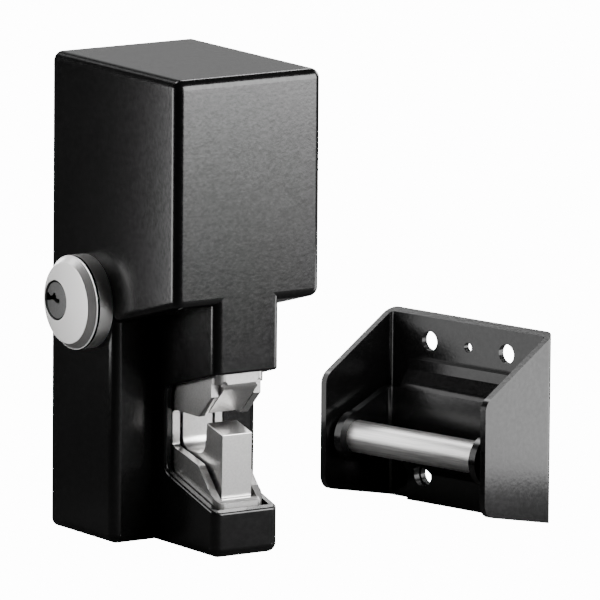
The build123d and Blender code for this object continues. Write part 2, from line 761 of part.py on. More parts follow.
def plunger():
    """Iron core of the solenoid, slotted below for the link and with a collar for its spring."""
    bar = rod_z(PLUNGER_R, PLUNGER_Z, core_bottom() - link_travel() - 2 * GAP, LINK_X, LINK_DEPTH)
    bar = chamfer(bar.edges().sort_by(Axis.Z)[-1], 1.0)
    seat = PLUNGER_Z + PLUNGER_HEAD
    bar += rod_z(PLUNGER_R + SPRING_SPACE + SPRING_WALL + 0.4, seat - 1.2, seat, LINK_X, LINK_DEPTH)
    wide = LINK_T / 2 + SEAT
    r = PLUNGER_R + 1
    bar -= block(LINK_X - wide, LINK_X + wide, LINK_DEPTH - r, LINK_DEPTH + r, PLUNGER_Z - 1,
                 PLUNGER_Z + PLUNGER_HEAD - 1.4)
    return bar - rod_x(LINK_PIN_D / 2 + RUN, LINK_X - r, LINK_X + r, LINK_DEPTH, plunger_pin_z())


def plunger_pin():
    return rod_x(LINK_PIN_D / 2, LINK_X - PLUNGER_R, LINK_X + PLUNGER_R, LINK_DEPTH, plunger_pin_z())


def sol_bottom():
    return COIL_Z - 0.4 - SOL_PLATE


def plunger_spring():
    """Pushes the plunger, the link and so the pawl back down. Hidden, so a plain sleeve."""
    z0 = PLUNGER_Z + PLUNGER_HEAD + SEAT
    z1 = sol_bottom() - SEAT
    inner = PLUNGER_R + SPRING_SPACE
    sleeve = rod_z(inner + SPRING_WALL, z0, z1, LINK_X, LINK_DEPTH)
    return sleeve - rod_z(inner, z0 - 1, z1 + 1, LINK_X, LINK_DEPTH)


def solenoid_screw_spots():
    z = COIL_Z + COIL_H + 0.4 + SOL_PLATE + SOL_EAR_H / 2
    return [(LINK_X - SOL_SCREW_X, z), (LINK_X + SOL_SCREW_X, z)]


def solenoid_frame():
    """Folded C of iron plate round the coil, with the fixed core in its top."""
    x0 = LINK_X - COIL_R - 0.5
    x1 = LINK_X + COIL_R + 0.5
    rear = PLATE_FRONT - SEAT
    low = sol_bottom()
    high = COIL_Z + COIL_H + 0.4
    front = LINK_DEPTH - COIL_R
    body = block(x0, x1, rear - SOL_PLATE, rear, low, high + SOL_PLATE + SOL_EAR_H)
    body += block(x0, x1, front, rear, low, low + SOL_PLATE)
    body += block(x0, x1, front, rear, high, high + SOL_PLATE)
    body = fillet(edges_at(body, [(rear, low)]), SOL_PLATE - 0.4)
    body += rod_z(PLUNGER_R, core_bottom(), high + 0.5, LINK_X, LINK_DEPTH)
    body -= rod_z(PLUNGER_R + GAP, low - 1, low + SOL_PLATE + 1, LINK_X, LINK_DEPTH)
    for x, z in solenoid_screw_spots():
        body -= rod_y(SCREW_D / 2 + GAP, rear - 5, rear + 1, x, z)
    return body


def core_bottom():
    """Lower end of the fixed core that the plunger is drawn up to."""
    return COIL_Z + COIL_H + 0.4 - CORE_L


def link_travel():
    return 2 * PAWL_ARM * math.sin(math.radians(ARM_TILT))


def solenoid_coil():
    """Winding on its bobbin, with a flange at each end."""
    body = rod_z(COIL_R - 1.0, COIL_Z, COIL_Z + COIL_H, LINK_X, LINK_DEPTH)
    for z in (COIL_Z, COIL_Z + COIL_H - 1.6):
        body += rod_z(COIL_R, z, z + 1.6, LINK_X, LINK_DEPTH)
    return body - rod_z(PLUNGER_R + GAP, COIL_Z - 1, COIL_Z + COIL_H + 1, LINK_X, LINK_DEPTH)


def solenoid_screws():
    seat = PLATE_FRONT - SEAT - SOL_PLATE - SEAT
    return Compound(children=[pan_screw_y(x, z, seat, HOUSING_D - 0.5) for x, z in solenoid_screw_spots()])


def terminal_span():
    """Bottom and top of the terminal block."""
    high = STRIP_TOP - TERMINAL_DROP
    return high - TERMINAL_H, high


def terminal_screw_heights():
    low, high = terminal_span()
    return low - TERMINAL_LUG / 2, high + TERMINAL_LUG / 2


def terminal_block():
    """Three-way block on the frame's upper strip, where the coil and supply wires meet."""
    seat = WEB_DEPTH + PLATE + SEAT
    low, high = terminal_span()
    half = TERMINAL_W / 2
    body = block(-half, half, seat, seat + TERMINAL_D, low, high)
    body += block(-3.2, 3.2, seat, seat + 3.0, low - TERMINAL_LUG, high + TERMINAL_LUG)
    for x in (-TERMINAL_W / 3, 0, TERMINAL_W / 3):
        body -= rod_y(2.3, seat + 4.0, seat + TERMINAL_D + 1, x, (low + high) / 2)
        body -= block(x - 2.4, x + 2.4, seat + 4.5, seat + 8.5, low - 1, low + 3.0)
    for z in terminal_screw_heights():
        body -= rod_y(1.5 + RUN, seat - 1, seat + 4.0, 0, z)
    return body


def terminal_screws():
    """Three clamp screws and the two that fix the block."""
    seat = WEB_DEPTH + PLATE + SEAT
    middle = sum(terminal_span()) / 2
    screws = []
    for x in (-TERMINAL_W / 3, 0, TERMINAL_W / 3):
        screws.append(rod_y(2.0, seat + 4.0, seat + TERMINAL_D - 1.5, x, middle))
    for z in terminal_screw_heights():
        screws.append(rod_y(1.5, WEB_DEPTH, seat + 4, 0, z) + rod_y(2.8, seat + 3.1, seat + 5.0, 0, z))
    return Compound(children=screws)


def cylinder_body():
    """Round key cylinder: bevelled head outside, plain barrel inside, bore for the plug."""
    rim_x = CYL_FACE_X + FACE_RISE
    head = Pos(0, FRONT + CYL_DEPTH, CYL_Z) * (Pos((CYL_FACE_X + rim_x) / 2, 0, 0) * Rot(0, 90, 0)
                                               * Cone(FACE_R, RIM_R - 0.4, FACE_RISE))
    head += rod_x(RIM_R, rim_x, rim_x + 0.3, CYL_DEPTH, CYL_Z)
    body = head + rod_x(CYL_R, rim_x, CYL_END_X, CYL_DEPTH, CYL_Z)
    body -= rod_x(PLUG_R + RUN, CYL_FACE_X - 1, CYL_END_X + 1, PLUG_DEPTH, CYL_Z)
    ring = rod_x(PLUG_R + 0.45, CYL_FACE_X - 1, CYL_FACE_X + 0.8, PLUG_DEPTH, CYL_Z)
    return body - ring


def cylinder_collar():
    """Guard ring between the cylinder's head and the housing."""
    ring = rod_x(RIM_R, -SIDE - COLLAR_T, -SIDE - SEAT / 2, CYL_DEPTH, CYL_Z)
    return ring - rod_x(CYL_R + SEAT, -SIDE - COLLAR_T - 1, -SIDE + 1, CYL_DEPTH, CYL_Z)


def cylinder_clamp():
    """C ring behind the housing's wall that holds the barrel, flat where the box's front is."""
    x0 = -SIDE + WALL + SEAT
    ring = rod_x(CYL_R + CLAMP_W, x0, x0 + CLAMP_T, CYL_DEPTH, CYL_Z)
    ring -= rod_x(CYL_R + RUN, x0 - 1, x0 + CLAMP_T + 1, CYL_DEPTH, CYL_Z)
    ring -= block(x0 - 1, x0 + CLAMP_T + 1, 0, CYL_DEPTH - CYL_R + 2.0, 0, HOUSING_H)
    ring -= block(x0 - 1, x0 + CLAMP_T + 1, PLATE_FRONT - GAP, HOUSING_D, 0, HOUSING_H)
    low = CYL_Z + CYL_R
    return ring - rod_z(CLAMP_SCREW_R, low, low + CLAMP_W + 2, x0 + CLAMP_T / 2, CYL_DEPTH)


def clamp_screw():
    x0 = -SIDE + WALL + SEAT
    low = CYL_Z + CYL_R + RUN
    return rod_z(CLAMP_SCREW_R - RUN, low, low - RUN + CLAMP_W + 1, x0 + CLAMP_T / 2, CYL_DEPTH)


def keyway(x0, x1):
    """The slot of the key: a zigzag from the plug's rear edge to just past its middle."""
    turns = [(7.5, 1.7), (7.5, -0.9), (4.4, -0.7), (3.0, -0.2), (1.6, -0.3), (0.7, -1.0), (-1.9, -1.0),
             (-1.9, 0.6), (0.2, 0.7), (1.0, 2.5), (2.1, 2.5), (3.0, 1.3), (4.4, 1.3), (5.6, 2.1)]
    return profile([(PLUG_DEPTH + d, CYL_Z + z) for d, z in turns], x0, x1)


def key_plug():
    """The part that the key turns, with its keyway."""
    body = rod_x(PLUG_R, CYL_FACE_X + PLUG_SINK, CYL_END_X, PLUG_DEPTH, CYL_Z)
    body = chamfer(body.edges().sort_by(Axis.X)[0], PLUG_BEVEL)
    return body - keyway(CYL_FACE_X - 1, CYL_FACE_X + KEYWAY_L)


def key_cam():
    """Finger on the plug's inner end; it swings forward and up under the link's tab."""
    x0 = CYL_END_X + 0.05
    x1 = x0 + CAM_T
    hub = rod_x(PLUG_R - 0.6, x0, x1, PLUG_DEPTH, CYL_Z)
    half = CAM_W / 2
    low = CYL_Z - CAM_REACH + half
    arm = block(x0, x1, PLUG_DEPTH - half, PLUG_DEPTH + half, low, CYL_Z)
    return hub + arm + rod_x(half, x0, x1, PLUG_DEPTH, low)


def at_bracket(shape):
    return Pos(BR_X, BR_Y, 0) * Rot(0, 0, BR_TURN) * shape


def own_profile(points, x0, x1):
    """As profile, in the bracket's own frame: (out, height), out counted from its back face."""
    line = Polyline(*[(x0, -out, z) for out, z in points], close=True)
    return extrude(make_face(line), amount=x1 - x0, dir=(1, 0, 0))


def own_box(x0, x1, out0, out1, z0, z1):
    return Pos((x0 + x1) / 2, -(out0 + out1) / 2, (z0 + z1) / 2) * Box(x1 - x0, out1 - out0, z1 - z0)


def own_edges(solid, axis, spots):
    """Edges along an axis near (x or None, out or None, z or None) spots."""
    found = []
    for edge in solid.edges().filter_by(axis):
        c = edge.center()
        for x, out, z in spots:
            near = x is None or abs(c.X - x) < 0.06
            near = near and (out is None or abs(-c.Y - out) < 0.06)
            if near and (z is None or abs(c.Z - z) < 0.06):
                found.append(edge)
    return found


def own_hole(diameter, x, z):
    return Pos(x, 0, z) * Rot(90, 0, 0) * Cylinder(diameter / 2, 40)


def bracket_shell():
    """Back plate and two sloped cheeks, folded from one sheet."""
    w = BR_W / 2
    outer = own_box(-w, w, 0, BR_D, 0, BR_H)
    outer = fillet(own_edges(outer, Axis.Z, [(-w, 0, None), (w, 0, None)]), BR_BEND)
    inner = own_box(-w + BR_T, w - BR_T, BR_T, BR_D + 1, -1, BR_H + 1)
    bends = [(-w + BR_T, BR_T, None), (w - BR_T, BR_T, None)]
    inner = fillet(own_edges(inner, Axis.Z, bends), BR_BEND - BR_T)
    side = own_profile([(-1, 0), (-1, BR_H), (0, BR_H), (BR_D, BR_FRONT_TOP), (BR_D, BR_FRONT_LOW),
                        (BR_T, 0)], -w - 1, w + 1)
    corners = [(None, BR_D, BR_FRONT_TOP), (None, BR_D, BR_FRONT_LOW)]
    side = fillet(own_edges(side, Axis.X, corners), BR_CORNER_R)
    body = (outer - inner) & side
    for x in (-BR_HOLE_X, BR_HOLE_X):
        for z in (BR_HOLE_LOW, BR_HOLE_HIGH):
            body -= own_hole(BR_HOLE_D, x, z)
    return at_bracket(body - own_hole(BR_PILOT_D, 0, BR_HOLE_HIGH))


def yoke_hat():
    """The yoke's middle strip: flat on the back plate above and below, raised between."""
    base = BR_T + SEAT
    face = base + YOKE_T
    turn = math.atan2(YOKE_RISE, YOKE_TOP - 5.0 - YOKE_WEB_TOP)
    shift = YOKE_T * math.tan(turn / 2)
    knee = YOKE_TOP - 5.0
    foot = YOKE_WEB_LOW - (knee - YOKE_WEB_TOP)
    points = [
        (base, YOKE_TOP), (face, YOKE_TOP), (face, knee + shift), (face + YOKE_RISE, YOKE_WEB_TOP + shift),
        (face + YOKE_RISE, YOKE_WEB_LOW - shift), (face, foot - shift), (face, 0), (base, 0),
        (base, foot), (base + YOKE_RISE, YOKE_WEB_LOW), (base + YOKE_RISE, YOKE_WEB_TOP), (base, knee),
    ]
    body = own_profile(points, -YOKE_TAB_W / 2, YOKE_TAB_W / 2)
    outer = [(None,) + points[3], (None,) + points[4]]
    return fillet(own_edges(body, Axis.X, outer), YOKE_T + 2.0)


def bracket_yoke():
    """Carries the strike bar between two round-nosed arms, folded forward from its web."""
    base = BR_T + SEAT + YOKE_RISE
    reach = BAR_OUT + NOSE_R
    outer = own_box(-YOKE_OUT, YOKE_OUT, base, reach, 0, YOKE_WEB_TOP)
    outer = fillet(own_edges(outer, Axis.Z, [(-YOKE_OUT, base, None), (YOKE_OUT, base, None)]),
                   YOKE_T + 2.0)
    inner_x = YOKE_OUT - YOKE_T
    inner = own_box(-inner_x, inner_x, base + YOKE_T, reach + 1, -1, YOKE_WEB_TOP + 1)
    bends = [(-inner_x, base + YOKE_T, None), (inner_x, base + YOKE_T, None)]
    inner = fillet(own_edges(inner, Axis.Z, bends), 2.0)
    side = own_profile([(base - 1, YOKE_WEB_LOW), (base - 1, YOKE_WEB_TOP), (base + YOKE_T, YOKE_WEB_TOP),
                        (BAR_OUT, BAR_UP + NOSE_R), (BAR_OUT, BAR_UP - NOSE_R),
                        (base + YOKE_T, YOKE_WEB_LOW)], -YOKE_OUT - 1, YOKE_OUT + 1)
    nose = Pos(0, -BAR_OUT, BAR_UP) * Rot(0, 90, 0)
    side += nose * Cylinder(NOSE_R, 2 * YOKE_OUT + 2)
    body = ((outer - inner) & side) + yoke_hat()
    body -= nose * Cylinder(BAR_D / 2 + RUN, 2 * YOKE_OUT + 2)
    for x in (-BR_HOLE_X, BR_HOLE_X):
        body -= own_hole(BR_HOLE_D + 1.0, x, BR_HOLE_LOW)
    return at_bracket(body)


def strike_bar():
    """Stainless bar that the claw catches, riveted through both arms."""
    bar = Cylinder(BAR_D / 2, 2 * YOKE_OUT + 1.2)
    bar = chamfer(bar.edges(), 0.5)
    return at_bracket(Pos(0, -BAR_OUT, BAR_UP) * Rot(0, 90, 0) * bar)


keep("housing", housing())
keep("housing_nose", housing_nose())
keep("mounting_plate", mounting_plate())
keep("cover_screws", cover_screws())
keep("cable_grommet", cable_grommet())
keep("latch_frame", latch_frame())
keep("frame_screws", frame_screws())
keep("claw", claw())
keep("claw_pin", cheek_pin(CLAW_PIN_D, CLAW_PIVOT))
keep("claw_stop", claw_stop())
keep("spring_post", cheek_pin(STOP_D, spring_post_spot()))
keep("claw_spring", claw_spring())
keep("locking_pawl", locking_pawl())
keep("pawl_pin", cheek_pin(PAWL_PIN_D, PAWL_PIVOT))
keep("link_pin", link_pin())
keep("microswitch", microswitch())
keep("switch_lever", switch_lever())
keep("switch_screws", switch_screws())
keep("release_link", release_link())
keep("plunger", plunger())
keep("plunger_pin", plunger_pin())
keep("plunger_spring", plunger_spring())
keep("solenoid_frame", solenoid_frame())
keep("solenoid_coil", solenoid_coil())
keep("solenoid_screws", solenoid_screws())
keep("terminal_block", terminal_block())
keep("terminal_screws", terminal_screws())
keep("cylinder_body", cylinder_body())
keep("cylinder_collar", cylinder_collar())
keep("cylinder_clamp", cylinder_clamp())
keep("clamp_screw", clamp_screw())
keep("key_plug", key_plug())
keep("key_cam", key_cam())
keep("bracket_shell", bracket_shell())
keep("bracket_yoke", bracket_yoke())
keep("strike_bar", strike_bar())
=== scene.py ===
import json
import math

import bmesh
import bpy
from mathutils import Matrix, Vector


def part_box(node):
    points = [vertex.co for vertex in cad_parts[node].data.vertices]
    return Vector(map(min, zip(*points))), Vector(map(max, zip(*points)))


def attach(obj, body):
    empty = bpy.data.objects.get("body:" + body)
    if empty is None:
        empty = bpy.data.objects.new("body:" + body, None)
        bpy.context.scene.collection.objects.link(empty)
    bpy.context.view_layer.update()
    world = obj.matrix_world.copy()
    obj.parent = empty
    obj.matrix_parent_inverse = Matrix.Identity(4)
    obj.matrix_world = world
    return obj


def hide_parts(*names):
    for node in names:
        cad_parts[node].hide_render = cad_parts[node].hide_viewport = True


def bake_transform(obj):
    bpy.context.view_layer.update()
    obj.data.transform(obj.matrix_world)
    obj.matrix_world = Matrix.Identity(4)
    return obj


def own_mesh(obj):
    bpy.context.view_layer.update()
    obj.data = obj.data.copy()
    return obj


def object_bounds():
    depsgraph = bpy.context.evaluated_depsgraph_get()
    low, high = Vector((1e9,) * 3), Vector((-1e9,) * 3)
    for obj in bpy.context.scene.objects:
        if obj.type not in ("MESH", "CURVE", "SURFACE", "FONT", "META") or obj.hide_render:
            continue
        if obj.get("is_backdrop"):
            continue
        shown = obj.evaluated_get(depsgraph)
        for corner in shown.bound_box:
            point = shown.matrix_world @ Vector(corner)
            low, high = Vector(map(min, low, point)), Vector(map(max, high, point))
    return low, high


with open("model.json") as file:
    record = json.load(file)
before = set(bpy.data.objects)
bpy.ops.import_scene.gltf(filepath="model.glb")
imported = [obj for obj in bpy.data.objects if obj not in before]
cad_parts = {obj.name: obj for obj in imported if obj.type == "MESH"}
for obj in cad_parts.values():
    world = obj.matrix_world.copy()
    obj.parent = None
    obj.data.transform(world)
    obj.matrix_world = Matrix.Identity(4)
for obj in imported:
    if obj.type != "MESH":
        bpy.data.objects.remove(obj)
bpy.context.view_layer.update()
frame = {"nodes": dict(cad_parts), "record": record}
BODY_OF = {node: body for body, nodes in frame["record"]["behaviour"]["bodies"].items()
           for node in nodes}


# Materials. All marks but the painted shade in the key cylinder's seams come from noise in
# object space. Lengths are in metres, so a noise scale of 1000 gives marks about a millimetre
# wide.

NOISE_LOW, NOISE_HIGH = 0.3, 0.7  # nearly all of a noise lies between these
MIX_FACTOR, MIX_A, MIX_B, MIX_RESULT = 0, 6, 7, 2  # the colour sockets of a Mix node
# Painted shade: this colour and core darken the narrow seams, for the shadow in them.
SEAM_SHADE_COLOUR = (0.012, 0.012, 0.012, 1.0)
SEAM_SHADE_CORE = 0.7  # the share of a painted shade line's half width that is fully dark


class Nodes:
    """A new material, with short ways to add and link its shader nodes."""

    def __init__(self, name):
        self.material = bpy.data.materials.new(name)
        self.material.use_nodes = True
        self.tree = self.material.node_tree
        self.shader = self.tree.nodes["Principled BSDF"]
        self.place = self.add("ShaderNodeTexCoord").outputs["Object"]

    def add(self, kind, **values):
        """A node of this kind. A value is a property of the node, or else one of its inputs."""
        node = self.tree.nodes.new(kind)
        for key, value in values.items():
            if hasattr(node, key):
                setattr(node, key, value)
            else:
                node.inputs[key.replace("_", " ")].default_value = value
        return node

    def link(self, out, into):
        self.tree.links.new(out, into)

    def set(self, key, value):
        self.shader.inputs[key].default_value = value

    def wire(self, out, key):
        self.link(out, self.shader.inputs[key])

    def noise(self, scale, detail=3.0, rough=0.5, stretch=None, turn=None):
        """Noise from 0 to 1. A turned noise is stretched along its own turned axes."""
        node = self.add("ShaderNodeTexNoise", Scale=scale, Detail=detail, Roughness=rough)
        if stretch or turn:
            mapping = self.add("ShaderNodeMapping", vector_type="TEXTURE" if turn else "POINT")
            mapping.inputs["Scale"].default_value = stretch or (1, 1, 1)
            mapping.inputs["Rotation"].default_value = turn or (0, 0, 0)
            self.link(self.place, mapping.inputs["Vector"])
            self.link(mapping.outputs["Vector"], node.inputs["Vector"])
        else:
            self.link(self.place, node.inputs["Vector"])
        return node.outputs["Fac"]

    def spread(self, value, low, high, to_low, to_high):
        """The value, with low to high mapped onto to_low to to_high."""
        node = self.add("ShaderNodeMapRange")
        limits = {"From Min": low, "From Max": high, "To Min": to_low, "To Max": to_high}
        for key, number in limits.items():
            node.inputs[key].default_value = number
        self.link(value, node.inputs["Value"])
        return node.outputs["Result"]

    def vary(self, noise, low, high):
        """A number that the noise moves from low to high."""
        return self.spread(noise, NOISE_LOW, NOISE_HIGH, low, high)

    def ramp(self, value, *stops):
        """The value as a colour. A stop is the value and its colour."""
        node = self.add("ShaderNodeValToRGB")
        for element, (at, colour) in zip(node.color_ramp.elements, stops):
            element.position = at
            element.color = (*colour, 1.0)
        self.link(value, node.inputs["Fac"])
        return node.outputs["Color"]

    def bump(self, value, height, strength=1.0, under=None):
        node = self.add("ShaderNodeBump", Strength=strength, Distance=height)
        self.link(value, node.inputs["Height"])
        if under is not None:
            self.link(under, node.inputs["Normal"])
        return node.outputs["Normal"]

    def painted_seam_shade(self, shade, axes, centre, at, half):
        """The colour with a dark line of painted shade at a distance from the centre, give or
        take half. The line stands for the shadow in a narrow gap between parts.

        The distance is measured along the given axes only.
        """
        flat = self.add("ShaderNodeVectorMath", operation="MULTIPLY")
        self.link(self.place, flat.inputs[0])
        flat.inputs[1].default_value = axes
        away = self.add("ShaderNodeVectorMath", operation="DISTANCE")
        self.link(flat.outputs["Vector"], away.inputs[0])
        away.inputs[1].default_value = [a * c for a, c in zip(axes, centre)]
        off = self.add("ShaderNodeMath", operation="SUBTRACT")
        self.link(away.outputs["Value"], off.inputs[0])
        off.inputs[1].default_value = at
        size = self.add("ShaderNodeMath", operation="ABSOLUTE")
        self.link(off.outputs[0], size.inputs[0])
        # painted shade: the colour goes dark along the line, for the shadow in the gap
        mix = self.add("ShaderNodeMix", data_type="RGBA")
        unshaded = self.spread(size.outputs[0], half * SEAM_SHADE_CORE, half, 0.0, 1.0)
        self.link(unshaded, mix.inputs[MIX_FACTOR])
        mix.inputs[MIX_A].default_value = SEAM_SHADE_COLOUR
        self.link(shade, mix.inputs[MIX_B])
        return mix.outputs[MIX_RESULT]


COAT_DARK = (0.0014, 0.0014, 0.0014 * 1.03)
COAT_LIGHT = (0.0026, 0.0026, 0.0026 * 1.04)
COAT_GLOSS = 0.21
COAT_GLOSS_CHANGE = 0.018
COAT_SHEEN = (0.46, 0.54)
CLOUD_SCALE, CELL_SCALE, PEEL_SCALE, GRAIN_SCALE = 55.0, 620.0, 800.0, 3600.0
PEEL_HEIGHT, GRAIN_HEIGHT = 0.00005, 0.000004


def powder_coat(name):
    """Black powder coat: orange peel a little over a millimetre across, uneven gloss."""
    n = Nodes(name)
    cloud = n.noise(CLOUD_SCALE, 4.0)
    n.wire(n.ramp(cloud, (0.30, COAT_DARK), (0.72, COAT_LIGHT)), "Base Color")
    cells = n.noise(CELL_SCALE, 1.0, 0.4)
    gloss = n.vary(cells, COAT_GLOSS - COAT_GLOSS_CHANGE, COAT_GLOSS + COAT_GLOSS_CHANGE)
    n.wire(gloss, "Roughness")
    n.wire(n.vary(cells, *COAT_SHEEN), "Specular IOR Level")
    peel = n.bump(n.noise(PEEL_SCALE, 2.0, 0.5), PEEL_HEIGHT, 0.62)
    n.wire(n.bump(n.noise(GRAIN_SCALE, 1.0), GRAIN_HEIGHT, 0.3, peel), "Normal")
    return n.material


def metal(name, colour, gloss, grain=(1, 1, 1), depth=0.000001, scale=900.0, turn=None,
          tone=0.93, seams=()):
    """Bare metal: brushed or turned marks, an uneven tone, and painted shade in its seams.

    grain stretches the marks along each axis, and turn lays them along a turned piece. depth
    is their height and tone the darkest share of the colour. A seam gives the axes, centre,
    distance and half width of a dark line painted as shade.
    """
    n = Nodes(name)
    dull = tuple(c * tone for c in colour)
    cloud = n.noise(scale, 2.0, 0.5, grain, turn) if turn else n.noise(1300.0, 3.0, 0.6)
    shade = n.ramp(cloud, (0.25, dull), (0.75, colour))
    # painted shade: each seam darkens the colour along a line, for the shadow in its gap
    for seam in seams:
        shade = n.painted_seam_shade(shade, *seam)
    n.wire(shade, "Base Color")
    n.set("Metallic", 1.0)
    marks = n.noise(scale, 2.0, 0.5, grain, turn)
    n.wire(n.vary(marks, gloss - 0.03, gloss + 0.04), "Roughness")
    n.wire(n.bump(marks, depth, 0.5), "Normal")
    return n.material


def plastic(name, colour, gloss=0.45):
    """Moulded plastic, rubber or lacquered wire: a blotchy colour and a fine texture."""
    n = Nodes(name)
    dull = tuple(c * 0.8 for c in colour)
    n.wire(n.ramp(n.noise(200.0, 4.0), (0.30, dull), (0.70, colour)), "Base Color")
    n.wire(n.vary(n.noise(500.0, 2.0), gloss - 0.05, gloss + 0.08), "Roughness")
    n.wire(n.bump(n.noise(2600.0, 2.0), 0.00001, 0.4), "Normal")
    return n.material


# The key cylinder lies along X. One seam runs round its plug, the other behind its head.
# Both are painted dark as shade, for the shadow in their narrow gaps.
CYLINDER_AXIS = (0, 0.02425, 0.08705)
RING_RADIUS, PLUG_RADIUS = 0.0071, 0.0068
HEAD_REAR = 0.0370
# Each seam below is a line of painted shade: axes, centre, distance and half width.
HEAD_RING_SEAM = ((0, 1, 1), CYLINDER_AXIS, RING_RADIUS, 0.0003)
PLUG_RIM_SEAM = ((0, 1, 1), CYLINDER_AXIS, PLUG_RADIUS, 0.00025)
HEAD_REAR_SEAM = ((1, 0, 0), (0, 0, 0), HEAD_REAR, 0.00028)

# The bar is brushed along its length, which is turned about Z as the bracket is.
BRUSHED = (30, 1, 1)
BRUSHED_DEPTH = 0.000004
BAR_TURN = (0, 0, -1.33)

POWDER = powder_coat("powder_coat_black")
ZINC = metal("zinc_plate", (0.66, 0.66, 0.64), 0.46, scale=700.0, tone=0.86)
FRAME_STEEL = metal("frame_steel", (0.84, 0.83, 0.82), 0.31, (1, 1, 3), scale=2600.0,
                    tone=0.80)
CLAW_STEEL = metal("claw_steel", (0.86, 0.85, 0.84), 0.31, (1, 3, 1), scale=2600.0, tone=0.82)
BAR_STEEL = metal("bar_steel", (0.95, 0.94, 0.93), 0.40, BRUSHED, BRUSHED_DEPTH, 1500.0,
                  BAR_TURN, 0.62)
# Both nickels carry painted shade in the key cylinder's seams.
NICKEL = metal("satin_nickel", (0.90, 0.89, 0.88), 0.44, scale=2400.0, tone=0.97,
               seams=(HEAD_RING_SEAM, HEAD_REAR_SEAM))
PLUG_NICKEL = metal("plug_nickel", (0.24, 0.24, 0.24), 0.38, scale=2400.0, tone=0.8,
                    seams=(PLUG_RIM_SEAM,))
PIN_STEEL = metal("pin_steel", (0.66, 0.66, 0.65), 0.28, (12, 1, 1), scale=500.0)
SPRING_STEEL = metal("spring_steel", (0.52, 0.52, 0.53), 0.3)
IRON = metal("solenoid_iron", (0.58, 0.57, 0.54), 0.36)
BLACK_PLASTIC = plastic("black_plastic", (0.022, 0.022, 0.024))
PALE_PLASTIC = plastic("pale_plastic", (0.70, 0.69, 0.64))
RUBBER = plastic("black_rubber", (0.015, 0.015, 0.015), 0.62)
WINDING = plastic("copper_winding", (0.42, 0.12, 0.05), 0.35)

LOOKS = {
    "housing": POWDER,
    "housing_nose": POWDER,
    "bracket_shell": POWDER,
    "bracket_yoke": POWDER,
    "mounting_plate": ZINC,
    "cover_screws": ZINC,
    "cable_grommet": RUBBER,
    "latch_frame": FRAME_STEEL,
    "frame_screws": ZINC,
    "claw": CLAW_STEEL,
    "claw_pin": PIN_STEEL,
    "claw_stop": PIN_STEEL,
    "spring_post": PIN_STEEL,
    "claw_spring": SPRING_STEEL,
    "locking_pawl": IRON,
    "pawl_pin": PIN_STEEL,
    "link_pin": PIN_STEEL,
    "microswitch": BLACK_PLASTIC,
    "switch_lever": SPRING_STEEL,
    "switch_screws": ZINC,
    "release_link": ZINC,
    "plunger": IRON,
    "plunger_pin": PIN_STEEL,
    "plunger_spring": SPRING_STEEL,
    "solenoid_frame": IRON,
    "solenoid_coil": WINDING,
    "solenoid_screws": ZINC,
    "terminal_block": PALE_PLASTIC,
    "terminal_screws": ZINC,
    "cylinder_body": NICKEL,
    "cylinder_collar": NICKEL,
    "cylinder_clamp": ZINC,
    "clamp_screw": ZINC,
    "key_plug": PLUG_NICKEL,
    "key_cam": ZINC,
    "strike_bar": BAR_STEEL,
}


# Softened edges. The covers keep the CAD mesh, which has its bends already.

SHARP_FROM = math.radians(25.0)
FLAT_WITHIN = math.radians(0.5)
WELD_BEFORE, WELD_AFTER = 2e-6, 1e-6
ROUNDING_STEPS = 2

EDGES = {
    "latch_frame": 0.00022,
    "claw": 0.00025,
    "bracket_shell": 0.00028,
    "bracket_yoke": 0.00028,
    "cylinder_body": 0.00015,
    "cylinder_collar": 0.00020,
    "mounting_plate": 0.00025,
    "locking_pawl": 0.00025,
    "release_link": 0.00020,
    "strike_bar": 0.00020,
}


def soften(node, width):
    """A copy of a CAD node with its sharp edges rounded, which stands for the node."""
    bm = bmesh.new()
    bm.from_mesh(frame["nodes"][node].data)
    bmesh.ops.remove_doubles(bm, verts=bm.verts, dist=WELD_BEFORE)
    bmesh.ops.dissolve_limit(bm, angle_limit=FLAT_WITHIN, verts=bm.verts, edges=bm.edges)
    sharp = [e for e in bm.edges
             if len(e.link_faces) == 2 and e.calc_face_angle(0) > SHARP_FROM]
    bmesh.ops.bevel(bm, geom=sharp, offset=width, offset_type="OFFSET",
                    segments=ROUNDING_STEPS, profile=0.5, affect="EDGES", clamp_overlap=True)
    bmesh.ops.remove_doubles(bm, verts=bm.verts, dist=WELD_AFTER)
    bmesh.ops.recalc_face_normals(bm, faces=bm.faces)
    for face in bm.faces:
        face.smooth = True
    mesh = bpy.data.meshes.new(node + "_skin")
    bm.to_mesh(mesh)
    bm.free()
    piece = bpy.data.objects.new(node + "_skin", mesh)
    bpy.context.scene.collection.objects.link(piece)
    mesh.materials.append(LOOKS[node])
    even = piece.modifiers.new("even_faces", "WEIGHTED_NORMAL")
    even.weight = 100
    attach(piece, BODY_OF[node])
    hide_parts(node)


for name, obj in frame["nodes"].items():
    obj.data.materials.clear()
    obj.data.materials.append(LOOKS[name])
for name, width in EDGES.items():
    soften(name, width)


# Wound springs, in place of the plain sleeves that hold their space

STEPS_PER_TURN = 24


